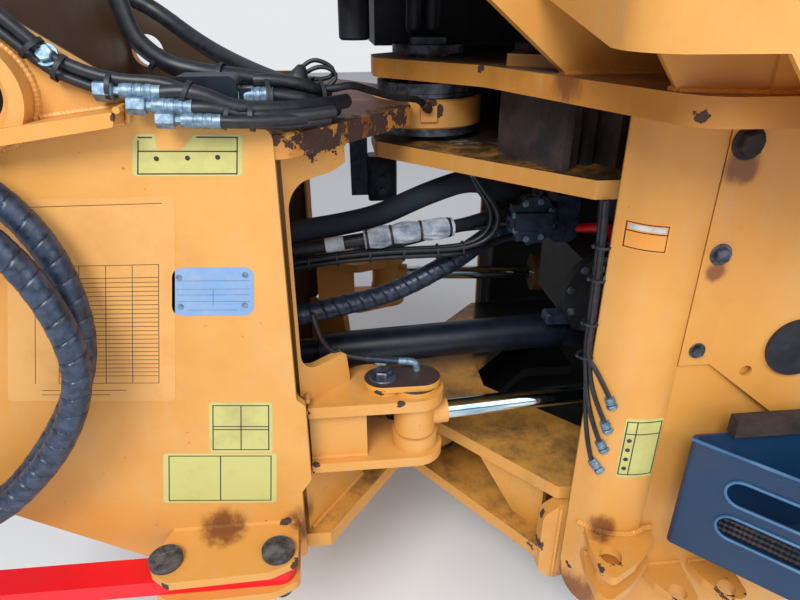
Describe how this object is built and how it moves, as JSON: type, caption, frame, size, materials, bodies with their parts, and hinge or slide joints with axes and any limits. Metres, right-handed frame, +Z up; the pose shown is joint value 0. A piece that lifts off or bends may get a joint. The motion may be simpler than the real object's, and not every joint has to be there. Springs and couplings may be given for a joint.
{
  "type": "wheel loader articulation joint",
  "caption": "Articulated centre joint of a wheel loader, with frame ends, hinge pins, steering cylinders, propeller shaft and frame lock bar.",
  "frame": {"origin": "middle of the rear frame on its rear cut plane, 850 mm above the ground the machine stands on", "axes": "+X forward along the machine, +Y to its left, +Z up"},
  "size_m": [2.28, 1.7522, 1.579],
  "materials": {
    "paint": "satin, faded, dusty",
    "blue_paint": "satin, scuffed",
    "red_paint": "gloss",
    "bare_steel": "dull, greasy",
    "chrome": "ground",
    "dark_steel": "oily",
    "grey_casting": "as cast, dusty",
    "rust": "rusty with traces of paint",
    "black_plastic": "matt",
    "hose": "matt, dusty",
    "zinc": "zinc plated"
  },
  "bodies": {
    "rear_frame": {"rear_top_plate": "paint", "rear_hinge_plate": "paint", "lower_fork": "paint", "rear_side_walls": "paint", "rear_covers": "paint", "cover_caps": "black_plastic", "hinge_box_plates": "rust", "hinge_box_back": "paint", "stop_blocks": "paint", "upper_hinge_pin": "bare_steel", "lower_hinge_pin": "bare_steel", "cylinder_brackets": "paint", "cylinder_anchor_pins": "bare_steel", "gearbox": "grey_casting", "output_flange": "dark_steel", "hinge_pump": "dark_steel", "rear_hose_fittings": "zinc", "crossing_hoses_rear": "hose", "lock_lug": "paint", "tie_down_lugs": "paint", "cab_supports": "paint", "cab_platforms": "paint", "cab_floor": "black_plastic", "step_box": "blue_paint", "step_brackets": "rust"},
    "front_frame": {"upper_bearing_housing": "paint", "lower_bearing_housing": "paint", "seal_rings": "bare_steel", "front_upper_lug": "paint", "front_lower_lug": "paint", "front_side_plates": "paint", "tower_bosses": "paint", "side_ribs": "paint", "front_webs": "paint", "steering_clevises": "paint", "clevis_caps": "paint", "clevis_pin_ends": "bare_steel", "front_cross_plate": "paint", "shaft_bearing": "dark_steel", "front_axle_flange": "dark_steel", "front_hose_fittings": "zinc", "crossing_hoses_front": "hose", "loop_hoses": "hose", "loop_brackets": "dark_steel", "hose_junction_block": "dark_steel", "lock_bracket": "paint", "lock_bar": "red_paint", "lock_pins": "bare_steel"},
    "shaft_rear": {"propeller_shaft_rear": "dark_steel"},
    "shaft_front": {"propeller_shaft_front": "dark_steel"},
    "barrel_left": {"steering_barrel_left": "paint"},
    "barrel_right": {"steering_barrel_right": "paint"},
    "rod_left": {"steering_rod_left": "chrome", "rod_eye_left": "paint", "steering_eye_pin_left": "bare_steel"},
    "rod_right": {"steering_rod_right": "chrome", "rod_eye_right": "paint", "steering_eye_pin_right": "bare_steel"}
  },
  "joints": [
    {"name": "steering", "type": "hinge", "parent": "rear_frame", "child": "front_frame", "pos_m": [1.15, 0, 0.105], "axis": [0, 0, 1], "range_deg": [-37, 37]},
    {"name": "shaft_rear_yaw", "type": "hinge", "parent": "rear_frame", "child": "shaft_rear", "pos_m": [0.7, 0, -0.098], "axis": [0, 0, 1], "range_deg": [-19, 19]},
    {"name": "shaft_front_yaw", "type": "hinge", "parent": "front_frame", "child": "shaft_front", "pos_m": [1.6, 0, -0.142], "axis": [0, 0, 1], "range_deg": [-19, 19]},
    {"name": "barrel_left_yaw", "type": "hinge", "parent": "rear_frame", "child": "barrel_left", "pos_m": [0.09, 0.295, -0.072], "axis": [0, 0, 1], "range_deg": [-3.6, 3.6]},
    {"name": "barrel_right_yaw", "type": "hinge", "parent": "rear_frame", "child": "barrel_right", "pos_m": [0.09, -0.295, -0.072], "axis": [0, 0, 1], "range_deg": [-3.6, 3.6]},
    {"name": "rod_left_slide", "type": "slide", "parent": "barrel_left", "child": "rod_left", "axis": [0.9957, 0.0924, 0], "range_m": [-0.245, 0.245]},
    {"name": "rod_right_slide", "type": "slide", "parent": "barrel_right", "child": "rod_right", "axis": [0.9957, -0.0924, 0], "range_m": [-0.245, 0.245]}
  ],
  "couplings": [
    {"joint": "shaft_rear_yaw", "follows": "steering", "ratio": 0.5},
    {"joint": "shaft_front_yaw", "follows": "steering", "ratio": -0.5},
    {"joint": "barrel_left_yaw", "follows": "steering", "ratio": 0.0906},
    {"joint": "barrel_right_yaw", "follows": "steering", "ratio": 0.0906},
    {"joint": "rod_left_slide", "follows": "steering", "m_per_rad": -0.3707},
    {"joint": "rod_right_slide", "follows": "steering", "m_per_rad": 0.3707}
  ]
}
